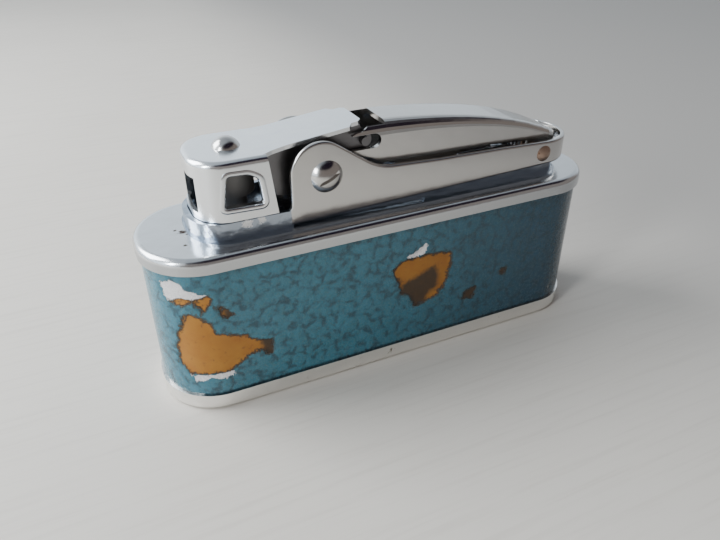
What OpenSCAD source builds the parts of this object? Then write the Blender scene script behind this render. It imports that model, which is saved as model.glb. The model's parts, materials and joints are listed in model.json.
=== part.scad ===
// Flat petrol pocket lighter with a thumb lever, a lift-arm windguard and a flint wheel.
// Origin: centre of the underside. +X towards the lever's pivot, -X is the wick end, +Z up.

/* [Case] */
// Width of the case
case_w = 60; // [58:0.5:62]
// Depth of the case
case_d = 15.56; // [15.2:0.1:16.5]
// Height of the case up to the deck
case_h = 21.05; // [20.5:0.05:21.5]
// Plan radius of the case corners
case_r = 7.2; // [6.5:0.1:7.5]
// Height of the polished band around the deck
deck_band = 1.82; // [1.4:0.02:2.2]
// Height of the polished band around the base
base_band = 2.17; // [1.9:0.01:2.5]
// How far the enamelled side stands back from the bands
side_inset = 0.45; // [0.3:0.05:0.6]
// Wall thickness of the fuel tank
tank_wall = 0.5; // [0.4:0.05:0.7]

/* [Frame] */
// Outer half-width of the channel frame
frame_hw = 5.0; // [4.9:0.05:5.1]
// Sheet thickness of the channel frame
frame_t = 0.6; // [0.5:0.05:0.65]
// Radius of the frame's shoulder around the axle
shoulder_r = 3.6; // [3.4:0.1:3.8]

/* [Mechanism] */
// Wheel axle, distance from the middle of the case
axle_x = -8.7; // [-8.8:0.1:-8.6]
// Wheel axle, height
axle_z = 26.6; // [26.5:0.05:26.7]
// Lever pivot, distance from the middle of the case
pivot_x = 21.7; // [21.5:0.1:21.9]
// Lever pivot, height
pivot_z = 24.1; // [24:0.05:24.2]
// Radius of the spark wheel
wheel_r = 3.3; // [3.2:0.05:3.3]
// Number of file teeth on the spark wheel
wheel_teeth = 40; // [30:1:48]
// Number of ratchet teeth
ratchet_teeth = 12; // [10:1:14]
// Running clearance of a shaft in its bore, on the radius
run_gap = 0.05; // [0.03:0.01:0.07]

/* [Wick end] */
// Wick centre, distance from the middle of the case
wick_x = -18.5; // [-18.7:0.1:-18.3]
// Radius of the wick
wick_r = 1.4; // [1.2:0.1:1.5]
// Outer half-width of the windguard
guard_hw = 4.95; // [4.9:0.05:5.0]
// Top of the windguard
guard_top = 30.15; // [30.1:0.05:30.2]

/* [Filler] */
// Filler screw, distance from the middle of the case
filler_x = 14; // [12:0.5:16]

/* [Hidden] */
$fn = 64;

// A static fit between two pieces of one body
fit = 0.03;

// Case
side_t = 0.4;                                  // enamelled sleeve thickness
tank_w = case_w - 2 * (side_inset + side_t);
tank_d = case_d - 2 * (side_inset + side_t);
tank_r = case_r - side_inset - side_t;
base_plate = 1.4;
deck_plate = 0.8;
tank_z0 = base_plate;
tank_z1 = case_h - deck_plate;
deck_edge = 0.8;                               // rounding of the deck's band
base_edge = 0.5;                               // rounding of the base's band
base_inset = 0.19;                             // the base band is slightly smaller

// Plinth
foot_hw = 6.0;
foot_h = 0.25;
foot_x0 = -24.2;
foot_x1 = 25.5;
foot_r = 4.6;
nose_x0 = -24.0;
nose_x1 = -13.8;
nose_hw = 4.95;
nose_r = 4.0;
nose_top = 23.25;
nose_wall = 0.6;
nose_floor = 22.3;
bed_hw = frame_hw - frame_t - 0.1;
bed_low = 21.7;
bed_high = 22.3;
bed_step_x = 4.5;

// Frame
floor_t = 0.5;
floor_x1 = 19.4;
frame_end_x = 22.5;
frame_hi = 25.6;                               // top of the rail at the rear
frame_lo = 22.5;                               // lower edge at the rear
shoulder_x = axle_x - 0.6;
shoulder_z = axle_z + 0.5;
frame_x0 = shoulder_x - shoulder_r;
flank_tilt = 34.5;
hollow_x = 0.1;
hollow_r = 6.5;
hollow_z = 26.4 + hollow_r;
rail_x0 = -1.2;
rivet_x = [6, 17];

// Flint
flint_r = 1.2;
flint_bore = 1.3;
flint_top = axle_z - wheel_r - 0.02;
flint_len = 5;
flint_tube_r = 2;
flint_tube_top = 22.9;
plunger_head = 1;
screw_tip_z = 5;

// Shafts
axle_r = 0.95;
axle_bore = axle_r + run_gap;
pin_r = 0.75;
pin_bore = pin_r + run_gap;

// Arm: a pressed strip that climbs from the windguard towards the lever
guard_t = 0.45;
guard_x0 = -23.3;
guard_x1 = -15.4;
guard_bottom = nose_top + 0.1;
guard_r = 3.9;
guard_edge = 0.7;
arm_tilt = 6.7;
arm_x0 = -15.6;
arm_x1 = -3.35;
arm_root_hw = 4.3;
arm_hw = 3.6;
arm_neck_hw = 2.7;
arm_neck_x = -5.2;
cheek_out = 2.65;
cheek_in = 2.15;
web_t = 0.5;
web_x0 = -20.6;
web_gap = 0.02;
drive_x = -3.1;
drive_z = 29.2;
drive_r = 0.55;
cup_r = 2.7;
cup_bore = 2.3;
cup_z0 = 25;
guard_rivet_r = 0.9;
guard_rivet_head = 1.6;

// Lever
lever_hw = 3.5;
lever_in = 2.95;
lever_x0 = -0.5;
lever_x1 = 26.2;
lever_top = 31.2;
lever_t = 0.55;
lever_roll_front = 1.5;
lever_roll_rear = 0.85;
ear_r = 1.55;
lip_x = -4.85;
jaw_z = 27.2;

// Ratchet and pawl, measured from the axle
ratchet_y0 = 1.3;
ratchet_y1 = 1.9;
ratchet_tip = 2.6;
ratchet_root = 2.1;
pawl_x = -3.6;
pawl_z = 1.9;
pawl_tip_angle = 112;
pawl_eye_r = 0.75;

// Points of an arc in side view
function arc(cx, cz, r, a0, a1, n) =
    [for (i = [0:n]) let (a = a0 + (a1 - a0) * i / n) [cx + r * cos(a), cz + r * sin(a)]];

// Height of the lever's back along its length
function lever_z(x) =
    let (u = max(x - lever_x0, 0)) lever_top - 0.045 * u - 0.0042 * pow(u, 2) - 0.000003 * pow(u, 4);
// Half-width of the lever, round at the rear
function lever_w(x, hw) =
    let (d = x - (lever_x1 - lever_hw)) d <= 0 ? hw : sqrt(max(pow(hw, 2) - pow(d, 2), 0.04));
// Radius of the lever's rolled edges, tighter towards the rear
function lever_roll(x) =
    lever_roll_rear + (lever_roll_front - lever_roll_rear) * min(1, max(0, (20 - x) / 20));
// Top of the arm strip
function arm_z(x) = guard_top + (x - arm_x0) * tan(arm_tilt);

// ---- General shapes ----

// Half-section of a slab's rim with a rounded top edge
module rim_section(reach, h, e) {
    square([reach - e, h]);
    square([reach, h - e]);
    translate([reach - e, h - e]) circle(e);
}

// Slab with round corners in plan and a rounded top edge
module slab(w, d, h, r, e) {
    for (sx = [-1, 1], sy = [-1, 1])
        translate([sx * (w / 2 - r), sy * (d / 2 - r), 0]) rotate_extrude() rim_section(r, h, e);
    for (s = [0, 1]) mirror([0, s, 0])
        translate([w / 2 - r, d / 2 - r, 0]) rotate([90, 0, -90])
            linear_extrude(w - 2 * r) mirror([1, 0]) rim_section(r, h, e);
    for (s = [0, 1]) mirror([s, 0, 0])
        translate([w / 2 - r, d / 2 - r, 0]) rotate([90, 0, 0])
            linear_extrude(d - 2 * r) rim_section(r, h, e);
    translate([-(w / 2 - r), -(d / 2 - r), 0]) cube([w - 2 * r, d - 2 * r, h]);
}

// Plain slab with round corners in plan
module plate(w, d, h, r) {
    linear_extrude(h) plate_outline(w, d, r);
}

module plate_outline(w, d, r) {
    square([w - 2 * r, d], center = true);
    square([w, d - 2 * r], center = true);
    for (sx = [-1, 1], sy = [-1, 1]) translate([sx * (w / 2 - r), sy * (d / 2 - r)]) circle(r);
}

// The same, given by its ends along X
module plate_x(x0, x1, hw, h, r) {
    translate([(x0 + x1) / 2, 0, 0]) plate(x1 - x0, 2 * hw, h, r);
}

// Side profile (x, z) extruded from y0 to y1
module side(y0, y1) {
    translate([0, y1, 0]) rotate([90, 0, 0]) linear_extrude(y1 - y0) children();
}

// Cylinder along Y
module shaft(x, z, r, y0, y1) {
    translate([x, y1, z]) rotate([90, 0, 0]) cylinder(r = r, h = y1 - y0);
}

// Both sides of the middle plane
module both() {
    children();
    mirror([0, 1, 0]) children();
}

// Solid through a row of closed rings of equal length
module loft(rings) {
    n = len(rings[0]);
    m = len(rings);
    polyhedron(
        points = [for (ring = rings) each ring],
        faces = concat(
            [[for (i = [0:n - 1]) i]],
            [for (j = [0:m - 2], i = [0:n - 1])
                each [[j * n + i, (j + 1) * n + i, (j + 1) * n + (i + 1) % n],
                      [j * n + i, (j + 1) * n + (i + 1) % n, j * n + (i + 1) % n]]],
            [[for (i = [n - 1:-1:0]) (m - 1) * n + i]]));
}

// Round wire along a path
function unit(v) = v / norm(v);
function path_dir(p, i) = unit(p[min(i + 1, len(p) - 1)] - p[max(i - 1, 0)]);
module wire(path, r, ref, sides = 6) {
    loft([for (i = [0:len(path) - 1])
        let (t = path_dir(path, i), a = unit(cross(ref, t)), b = cross(t, a))
        [for (k = [0:sides - 1]) path[i] + r * (cos(360 * k / sides) * a + sin(360 * k / sides) * b)]]);
}

// ---- Case ----

module fuel_tank() {
    color("goldenrod") difference() {
        translate([0, 0, tank_z0]) plate(tank_w, tank_d, tank_z1 - tank_z0, tank_r);
        translate([0, 0, tank_z0 + tank_wall])
            plate(tank_w - 2 * tank_wall, tank_d - 2 * tank_wall, tank_z1 - tank_z0 - 2 * tank_wall,
                tank_r - tank_wall);
        translate([axle_x, 0, tank_z0 - 1]) cylinder(r = flint_tube_r + fit, h = case_h);
        translate([wick_x, 0, tank_z1 - 2]) cylinder(r = wick_r + 0.35 + fit, h = 4);
        translate([filler_x, 0, tank_z0 - 1]) cylinder(r = 3 + fit, h = 3);
    }
}

module enamel_sleeve() {
    color("teal") translate([0, 0, base_band]) difference() {
        plate(case_w - 2 * side_inset, case_d - 2 * side_inset, case_h - deck_band - base_band,
            case_r - side_inset);
        translate([0, 0, -1]) plate(tank_w + 2 * fit, tank_d + 2 * fit, case_h, tank_r + fit);
    }
}

module deck_cap() {
    color("lightgray") difference() {
        translate([0, 0, case_h - deck_band]) slab(case_w, case_d, deck_band, case_r, deck_edge);
        translate([0, 0, 0]) plate(tank_w + 2 * fit, tank_d + 2 * fit, tank_z1, tank_r + fit);
        translate([axle_x, 0, tank_z1 - 1]) cylinder(r = flint_tube_r + fit, h = 4);
        translate([wick_x, 0, tank_z1 - 1]) cylinder(r = wick_r + 0.35 + fit, h = 4);
        for (x = rivet_x) translate([x, 0, tank_z1 - 1]) cylinder(r = 0.9 + fit, h = 4);
    }
}

module base_cap() {
    color("lightgray") difference() {
        intersection() {
            translate([0, 0, base_band]) mirror([0, 0, 1])
                slab(case_w - 2 * base_inset, case_d - 2 * base_inset, base_band, case_r - base_inset,
                    base_edge);
            plate(case_w, case_d, base_band, case_r);
        }
        translate([0, 0, base_plate]) plate(tank_w + 2 * fit, tank_d + 2 * fit, 4, tank_r + fit);
        translate([axle_x, 0, -1]) cylinder(r = 2.7, h = 4);
        translate([filler_x, 0, -1]) cylinder(r = 3 + fit, h = 4);
        translate([filler_x, 0, -1]) cylinder(r = 3.9, h = 2);
    }
}

module plinth() {
    color("silver") difference() {
        union() {
            translate([0, 0, case_h]) plate_x(foot_x0, foot_x1, foot_hw, foot_h, foot_r);
            translate([0, 0, case_h]) plate_x(nose_x0, nose_x1, nose_hw, nose_top - case_h, nose_r);
            translate([nose_x0 + nose_r, -nose_hw, case_h])
                cube([frame_x0 - fit - nose_x0 - nose_r, 2 * nose_hw, nose_top - case_h]);
            translate([0, 0, case_h]) plate_x(nose_x1 - 3, foot_x1 - 0.6, bed_hw, bed_low - case_h, 2);
            translate([0, 0, case_h]) plate_x(bed_step_x, foot_x1 - 0.6, bed_hw, bed_high - case_h, 2);
            translate([bed_step_x, -bed_hw, case_h]) cube([4, 2 * bed_hw, bed_high - case_h]);
        }
        translate([0, 0, nose_floor])
            plate_x(nose_x0 + nose_wall, nose_x1 + 8, nose_hw - nose_wall, 4, nose_r - nose_wall);
        translate([wick_x, 0, case_h - 1]) cylinder(r = wick_r + 0.35 + fit, h = 6);
        translate([axle_x, 0, case_h - 1]) cylinder(r = flint_tube_r + fit, h = 6);
        for (x = rivet_x) translate([x, 0, case_h - 1]) cylinder(r = 0.9 + fit, h = 6);
    }
}

// Side profile of the frame's wall: round shoulder, sloping flank, hollow, long rail
module frame_profile() {
    tangent = 90 - flank_tilt;
    translate([shoulder_x, shoulder_z]) circle(shoulder_r);
    polygon(concat(
        [[frame_x0, frame_lo - 1.1], [frame_x0, shoulder_z]],
        [[shoulder_x + shoulder_r * cos(tangent), shoulder_z + shoulder_r * sin(tangent)]],
        arc(hollow_x, hollow_z, hollow_r, 270 - flank_tilt, 267, 8),
        [[6, 26.1], [15, 25.9], [frame_end_x, frame_hi], [frame_end_x, frame_lo]]));
}

module frame() {
    color("silver") difference() {
        union() {
            both() side(frame_hw - frame_t, frame_hw) frame_profile();
            translate([0, 0, bed_high])
                translate([bed_step_x, -(frame_hw - frame_t), 0])
                    cube([floor_x1 - bed_step_x, 2 * (frame_hw - frame_t), floor_t]);
            difference() {
                translate([frame_end_x, 0, frame_lo]) cylinder(r = frame_hw, h = frame_hi - frame_lo);
                translate([frame_end_x, 0, frame_lo - 1]) cylinder(r = frame_hw - frame_t, h = 6);
                translate([frame_end_x - 10, -10, frame_lo - 1]) cube([10, 20, 6]);
            }
        }
        shaft(axle_x, axle_z, axle_r + fit, -10, 10);
        shaft(pivot_x, pivot_z, pin_r + fit, -10, 10);
        for (x = rivet_x) translate([x, 0, bed_high - 1]) cylinder(r = 0.9 + fit, h = 3);
    }
}

module frame_rivet(x) {
    color("silver") translate([x, 0, 0]) {
        translate([0, 0, tank_z1 + 0.02]) cylinder(r = 0.9, h = bed_high + floor_t - tank_z1 - 0.02);
        translate([0, 0, bed_high + floor_t]) rotate_extrude() intersection() {
            translate([0, -1.6]) circle(2);
            square([1.5, 1]);
        }
    }
}

module frame_rivet_1() { frame_rivet(rivet_x[0]); }
module frame_rivet_2() { frame_rivet(rivet_x[1]); }

// Slotted dome-headed screw across the frame; it is the axle of the wheel and of the arm
module axle_screw() {
    color("gainsboro") {
        shaft(axle_x, axle_z, axle_r, -frame_hw, frame_hw + 0.7);
        translate([axle_x, -frame_hw, axle_z]) rotate([90, 0, 0]) difference() {
            rotate_extrude() intersection() {
                translate([0, -1.2]) circle(2.25);
                square([1.9, 2]);
            }
            rotate([0, 0, 25]) translate([-3, -0.2, 0.55]) cube([6, 0.4, 2]);
        }
    }
}

module axle_nut() {
    color("silver") difference() {
        shaft(axle_x, axle_z, 1.7, frame_hw, frame_hw + 0.7);
        shaft(axle_x, axle_z, axle_r + fit, frame_hw - 1, frame_hw + 2);
    }
}

module axle_spacer() {
    color("silver") difference() {
        shaft(axle_x, axle_z, 1.7, -(frame_hw - frame_t) + 0.05, -cheek_out - 0.1);
        shaft(axle_x, axle_z, axle_r + fit, -6, 0);
    }
}

module lever_pin() {
    color("rosybrown") {
        shaft(pivot_x, pivot_z, pin_r, -frame_hw, frame_hw);
        for (s = [0, 1]) mirror([0, s, 0])
            translate([pivot_x, -frame_hw, pivot_z]) rotate([90, 0, 0]) rotate_extrude() intersection() {
                translate([0, -1.3]) circle(1.7);
                square([1.05, 1]);
            }
    }
}

module wick_tube() {
    color("goldenrod") translate([wick_x, 0, 12]) difference() {
        cylinder(r = wick_r + 0.35, h = 12.6);
        translate([0, 0, -1]) cylinder(r = wick_r + fit, h = 15);
    }
}

module wick() {
    color("ivory") translate([wick_x, 0, 4]) cylinder(r = wick_r, h = 21.9);
}

module cotton_packing() {
    color("white") difference() {
        translate([0, 0, 3]) plate(tank_w - 2, tank_d - 1.6, tank_z1 - 3.8, tank_r - 0.9);
        translate([wick_x, 0, 0]) cylinder(r = wick_r + 0.5, h = 30);
        translate([axle_x, 0, 0]) cylinder(r = flint_tube_r + 0.1, h = 30);
        translate([filler_x, 0, 0]) cylinder(r = 3.2, h = 5);
    }
}

module felt_pad() {
    color("tan") difference() {
        translate([0, 0, tank_z0 + tank_wall + 0.05]) plate(tank_w - 3, tank_d - 2, 1, tank_r - 1.2);
        translate([axle_x, 0, 0]) cylinder(r = flint_tube_r + 0.1, h = 6);
        translate([filler_x, 0, 0]) cylinder(r = 3.2, h = 6);
    }
}

module flint_tube() {
    color("goldenrod") translate([axle_x, 0, base_plate]) difference() {
        cylinder(r = flint_tube_r, h = flint_tube_top - base_plate);
        translate([0, 0, -1]) cylinder(r = flint_bore, h = 30);
    }
}

module filler_bush() {
    color("goldenrod") translate([filler_x, 0, 1.02]) difference() {
        cylinder(r = 3, h = 3.4);
        translate([0, 0, -1]) cylinder(r = 2.3 + run_gap, h = 6);
    }
}

// ---- Springs ----

// Torsion spring on the lever pin: one leg on the frame's floor, one under the lever's back
module lever_spring() {
    coil_r = 1.15;
    wire_r = 0.2;
    turns = 4.5;
    half = 1.8;
    steps = 90;
    coil = [for (i = [0:steps]) let (a = 90 - 360 * turns * i / steps)
        [pivot_x + coil_r * cos(a), -half + 2 * half * i / steps, pivot_z + coil_r * sin(a)]];
    top_leg = [[pivot_x - 8.5, -half - 0.1, lever_z(pivot_x - 8.5) - lever_t - wire_r - 0.12],
               [pivot_x - 4, -half - 0.1, 27.3], [pivot_x - 1.1, -half, pivot_z + coil_r + 0.35]];
    low_leg = [[pivot_x - 1.2, half, pivot_z - coil_r + 0.12],
               [pivot_x - 4, half, bed_high + floor_t + wire_r + 0.02],
               [pivot_x - 9, half, bed_high + floor_t + wire_r + 0.02]];
    color("dimgray") wire(concat(top_leg, coil, low_leg), wire_r, [0, 1, 0]);
}

// Torsion spring on the axle, beside the arm: it holds the windguard down
module arm_spring() {
    coil_r = 1.55;
    wire_r = 0.2;
    turns = 2.25;
    y0 = 3.0;
    y1 = 4.05;
    steps = 50;
    coil = [for (i = [0:steps]) let (a = 90 + 360 * turns * i / steps)
        [axle_x + coil_r * cos(a), y0 + (y1 - y0) * i / steps, axle_z + coil_r * sin(a)]];
    arm_leg = [[axle_x + 3.3, y0, axle_z + 2.35], [axle_x + 1.6, y0, axle_z + 1.85]];
    bed_leg = [[axle_x - coil_r, y1, axle_z - 1.5], [axle_x - coil_r - 0.6, y1, bed_low + 0.35]];
    color("dimgray") wire(concat(arm_leg, coil, bed_leg), wire_r, [0, 1, 0]);
}

// Compression spring between the flint screw and the plunger
module flint_spring() {
    coil_r = 0.92;
    wire_r = 0.17;
    turns = 14;
    steps = turns * 14;
    z0 = screw_tip_z + wire_r + 0.03;
    z1 = flint_top - flint_len - plunger_head - wire_r - 0.03;
    color("dimgray") wire([for (i = [0:steps]) let (a = 360 * turns * i / steps)
        [axle_x + coil_r * cos(a), coil_r * sin(a), z0 + (z1 - z0) * i / steps]], wire_r, [0, 0, 1]);
}

// Leaf under the arm's web that presses the pawl on the ratchet
module pawl_spring() {
    y0 = ratchet_y0 + 0.05;
    y1 = ratchet_y1 - 0.05;
    x0 = axle_x + pawl_x + 0.2;
    color("dimgray") side(y0, y1) polygon([
        [x0 + 4.4, arm_z(x0 + 4.4) - guard_t - web_t - 0.06],
        [x0 + 2.6, arm_z(x0 + 2.6) - guard_t - web_t - 0.06],
        [x0 + 1.6, axle_z + pawl_z + 0.78],
        [x0 + 1.8, axle_z + pawl_z + 0.78],
        [x0 + 2.8, arm_z(x0 + 2.8) - guard_t - web_t - 0.24],
        [x0 + 4.4, arm_z(x0 + 4.4) - guard_t - web_t - 0.24]]);
}

// ---- Lever ----

// Ring across the lever at one station: flat-bottomed, with rolled top edges
function lever_ring(x, hw, top, bottom, roll) =
    let (w = lever_w(x, hw), r = min(roll, w * 0.9))
    concat(
        [[x, w, bottom]],
        [for (i = [0:6]) let (a = 15 * i) [x, w - r + r * cos(a), top - r + r * sin(a)]],
        [for (i = [0:6]) let (a = 90 + 15 * i) [x, -w + r + r * cos(a), top - r + r * sin(a)]],
        [[x, -w, bottom]]);

// Lower edge of the cheeks
function lever_low(x) = x < 12 ? 26.3 - 0.0125 * x : 26.15 - 0.06 * (x - 12);

module thumb_lever() {
    stations = concat([lip_x, -2], [for (i = [0:10]) lever_x0 + 2.3 * i], [23.6, 24.6, 25.4, 25.9, 26.15]);
    color("silver") difference() {
        union() {
            difference() {
                loft([for (x = stations)
                    lever_ring(x, lever_hw, lever_z(x), min(lever_low(x), lever_z(x) - 1.6), lever_roll(x))]);
                loft([for (x = concat([lip_x - 1],
                                      [for (i = [0:11]) lever_x0 + 1 + 2.1 * i], [24.4, 25, 25.45]))
                    lever_ring(x, lever_in, lever_z(x) - lever_t, 20, lever_roll(x) - 0.45)]);
            }
            both() side(lever_in, lever_hw) {
                translate([pivot_x, pivot_z]) circle(ear_r);
                polygon([[pivot_x - ear_r, pivot_z], [pivot_x - ear_r - 0.2, 26],
                         [pivot_x + ear_r + 0.2, 26], [pivot_x + ear_r, pivot_z]]);
            }
        }
        // sloping upper lips in front of the thumb plate
        side(-10, 10) polygon([[lip_x - 1, 30.1], [lip_x, 30.1], [-4.3, 30.3], [-3.5, 30.4], [-2.9, 30.75],
                               [-2.5, 31.0], [-0.9, 31.1], [lever_x0, 31.1],
                               [lever_x0, 33], [lip_x - 1, 33]]);
        side(-lever_in, lever_in) polygon([[lip_x - 1, 20], [lever_x0, 20], [lever_x0, 33], [lip_x - 1, 33]]);
        // lower jaw, drawn back below the mouth
        side(-10, 10) polygon([[lip_x - 1, 20], [rail_x0, 20], [rail_x0, 26.4], [-2.4, jaw_z],
                               [-3.3, jaw_z + 0.3], [lip_x, jaw_z + 0.75], [lip_x - 1, jaw_z + 0.75]]);
        // mouth that takes the drive pin
        side(-10, 10) {
            translate([drive_x + 1.0, drive_z]) circle(drive_r + 0.3);
            polygon([[lip_x - 1, drive_z - drive_r - 0.3], [drive_x + 1.0, drive_z - drive_r - 0.3],
                     [drive_x + 1.0, drive_z + drive_r + 0.3], [lip_x - 1, drive_z + drive_r + 0.3]]);
        }
        shaft(pivot_x, pivot_z, pin_bore, -10, 10);
    }
}

// ---- Arm ----

module guard_shell(inset, top, edge) {
    translate([(guard_x0 + guard_x1 + 8) / 2, 0, guard_bottom])
        slab(guard_x1 + 8 - guard_x0 - 2 * inset, 2 * (guard_hw - inset), top - guard_bottom,
            guard_r - inset, edge);
}

// Plan of the arm's strip, from the windguard to the narrow tail under the lever
module arm_plan() {
    neck = arm_neck_x - arm_x0;
    tail = (arm_x1 - arm_x0) / cos(arm_tilt);
    edge = [[0, arm_root_hw], [1.1, arm_hw + 0.3], [2.6, arm_hw + 0.05], [4.2, arm_hw],
            [neck, arm_hw], [neck + 0.6, arm_neck_hw], [tail - 0.5, arm_neck_hw],
            [tail, arm_neck_hw - 0.5]];
    polygon(concat([for (q = edge) [q[0], -q[1]]], [for (i = [7:-1:0]) edge[i]]));
}

module windguard() {
    color("gainsboro") difference() {
        union() {
            intersection() {
                guard_shell(0, guard_top, guard_edge);
                side(-10, 10) polygon([[guard_x0 - 1, guard_bottom], [-14.5, guard_bottom],
                                       [guard_x1, guard_top + 1], [guard_x0 - 1, guard_top + 1]]);
            }
            translate([arm_x0, 0, guard_top]) rotate([0, -arm_tilt, 0])
                translate([0, 0, -guard_t]) linear_extrude(guard_t) arm_plan();
        }
        difference() {
            translate([0, 0, -guard_t]) guard_shell(guard_t, guard_top, guard_edge - 0.4);
            side(-10, 10) polygon([[arm_x0, guard_top - guard_t],
                                   [arm_x1 + 3, arm_z(arm_x1 + 3) - guard_t / cos(arm_tilt)],
                                   [arm_x1 + 3, 40], [arm_x0, 40]]);
        }
        translate([guard_x0, -guard_hw, guard_bottom - 2]) cube([12, 2 * guard_hw, 2]);
        // windows in both sides and in the front
        side(-10, 10) polygon([[-20.5, 24.9], [-16.0, 24.75], [-16.35, 27.8], [-17.5, 28.5], [-19.9, 28.6]]);
        translate([guard_x0 - 1, -2.8, 24.2]) cube([3.2, 5.6, 4]);
        translate([wick_x, 0, guard_top - 2]) cylinder(r = guard_rivet_r + fit, h = 4);
    }
}

module bracket_web(y) {
    side(-y, y) polygon([
        [web_x0, guard_top - guard_t - web_gap], [guard_x1 + 0.25, guard_top - guard_t - web_gap],
        [arm_x1 - 0.2, arm_z(arm_x1 - 0.2) - guard_t / cos(arm_tilt) - web_gap],
        [arm_x1 - 0.2, arm_z(arm_x1 - 0.2) - guard_t / cos(arm_tilt) - web_t],
        [arm_x0, guard_top - guard_t - web_t], [web_x0, guard_top - guard_t - web_t]]);
}

module arm_bracket() {
    color("darkgray") difference() {
        union() {
            bracket_web(cheek_out);
            both() side(cheek_in, cheek_out) {
                translate([axle_x, axle_z]) circle(3.5);
                translate([drive_x, drive_z]) circle(1.0);
                polygon([[-15.0, 29.3], [-13.9, 24.4], [-12.2, 24.0], [axle_x, 24],
                         [axle_x + 3.4, axle_z + 0.4],
                         [drive_x + 0.55, drive_z - 0.8], [drive_x + 0.9, drive_z + 0.4],
                         [arm_x1 - 0.2, arm_z(arm_x1) - guard_t - 0.25],
                         [arm_x0, guard_top - guard_t - 0.25]]);
            }
        }
        shaft(axle_x, axle_z, axle_bore, -10, 10);
        shaft(drive_x, drive_z, drive_r + fit, -10, 10);
        shaft(axle_x + pawl_x, axle_z + pawl_z, 0.4 + fit, 1, 10);
        translate([wick_x, 0, guard_top - 3]) cylinder(r = guard_rivet_r + fit, h = 4);
    }
}

module snuffer_cup() {
    top = guard_top - guard_t - web_t - 0.02;
    color("dimgray") translate([wick_x, 0, cup_z0]) difference() {
        rotate_extrude() rim_section(cup_r, top - cup_z0, 0.3);
        translate([0, 0, -1]) cylinder(r = cup_bore, h = top - cup_z0 + 0.5);
        cylinder(r = guard_rivet_r + fit, h = 10);
    }
}

// Dome-headed rivet that joins the windguard, the bracket and the snuffer cup
module guard_rivet() {
    low = guard_top - guard_t - web_t - 0.9;
    color("white") translate([wick_x, 0, 0]) {
        translate([0, 0, low]) cylinder(r = guard_rivet_r, h = guard_top - low);
        translate([0, 0, guard_top]) rotate_extrude() intersection() {
            translate([0, -0.65]) circle(norm([guard_rivet_head, 0.65]));
            square([guard_rivet_head, 2]);
        }
    }
}

module drive_pin() {
    color("dimgray") shaft(drive_x, drive_z, drive_r, -lever_hw + 0.2, lever_hw - 0.2);
}

module pawl_pin() {
    color("dimgray") shaft(axle_x + pawl_x, axle_z + pawl_z, 0.4, ratchet_y0 - 0.1, cheek_out + 0.15);
}

// Ratchet tooth: steep face towards the pawl, long back
function ratchet_points() = [for (i = [0:ratchet_teeth - 1])
    let (a = pawl_tip_angle - 3 - 360 * i / ratchet_teeth, b = a + 2 - 360 / ratchet_teeth)
    each [ratchet_tip * [cos(a), sin(a)], ratchet_root * [cos(b), sin(b)]]];

module pawl() {
    tip = pawl_tip_angle;
    color("gray") difference() {
        side(ratchet_y0 + 0.05, ratchet_y1 - 0.05) translate([axle_x, axle_z])
            polygon(concat(
                arc(pawl_x, pawl_z, pawl_eye_r, 60, 290, 16),
                [[pawl_x + 0.7, pawl_z - 0.1], [pawl_x + 1.85, pawl_z + 0.08],
                 (ratchet_root + 0.1) * [cos(tip), sin(tip)],
                 (ratchet_tip + 0.14) * [cos(tip - 2), sin(tip - 2)],
                 [pawl_x + 1.6, pawl_z + 0.7]]));
        shaft(axle_x + pawl_x, axle_z + pawl_z, 0.4 + run_gap, -5, 5);
    }
}

// ---- Wheel ----

module spark_wheel() {
    color("slategray") difference() {
        side(-1.25, 1.25) translate([axle_x, axle_z]) polygon([for (i = [0:2 * wheel_teeth - 1])
            let (a = 180 * i / wheel_teeth, r = wheel_r - (i % 2) * 0.22) [r * cos(a), r * sin(a)]]);
        shaft(axle_x, axle_z, axle_bore, -5, 5);
    }
}

module ratchet_wheel() {
    color("gray") difference() {
        union() {
            side(ratchet_y0, ratchet_y1) translate([axle_x, axle_z]) polygon(ratchet_points());
            shaft(axle_x, axle_z, 1.7, 1.25, ratchet_y0);
        }
        shaft(axle_x, axle_z, axle_bore, -5, 5);
    }
}

// ---- Flint feed ----

module flint() {
    color("dimgray") translate([axle_x, 0, flint_top - flint_len]) cylinder(r = flint_r, h = flint_len);
}

module flint_plunger() {
    color("goldenrod") translate([axle_x, 0, flint_top - flint_len - plunger_head]) {
        cylinder(r = flint_r, h = plunger_head);
        translate([0, 0, -3]) cylinder(r = 0.5, h = 3.2);
    }
}

module flint_washer() {
    color("saddlebrown") translate([axle_x, 0, 1.1]) difference() {
        cylinder(r = 2.4, h = 0.26);
        translate([0, 0, -1]) cylinder(r = flint_r + run_gap + 0.03, h = 3);
    }
}

module flint_screw() {
    color("goldenrod") translate([axle_x, 0, 0]) difference() {
        union() {
            translate([0, 0, 0.12]) cylinder(r = 2.5, h = 0.96);
            cylinder(r = flint_r + 0.03, h = screw_tip_z);
        }
        translate([-4, -0.3, -1]) cube([8, 0.6, 1.6]);
        translate([-4, -4, -1]) cube([8, 8, 1.12]);
    }
}

// ---- Filler ----

module filler_washer() {
    color("saddlebrown") translate([filler_x, 0, 0.72]) difference() {
        cylinder(r = 3.55, h = 0.26);
        translate([0, 0, -1]) cylinder(r = 2.3 + run_gap, h = 3);
    }
}

module filler_screw() {
    color("goldenrod") translate([filler_x, 0, 0]) difference() {
        union() {
            translate([0, 0, 0.1]) cylinder(r = 3.7, h = 0.6);
            translate([0, 0, 0.1]) cylinder(r = 2.3, h = 4);
        }
        translate([-5, -0.4, -1]) cube([10, 0.8, 1.45]);
    }
}

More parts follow.
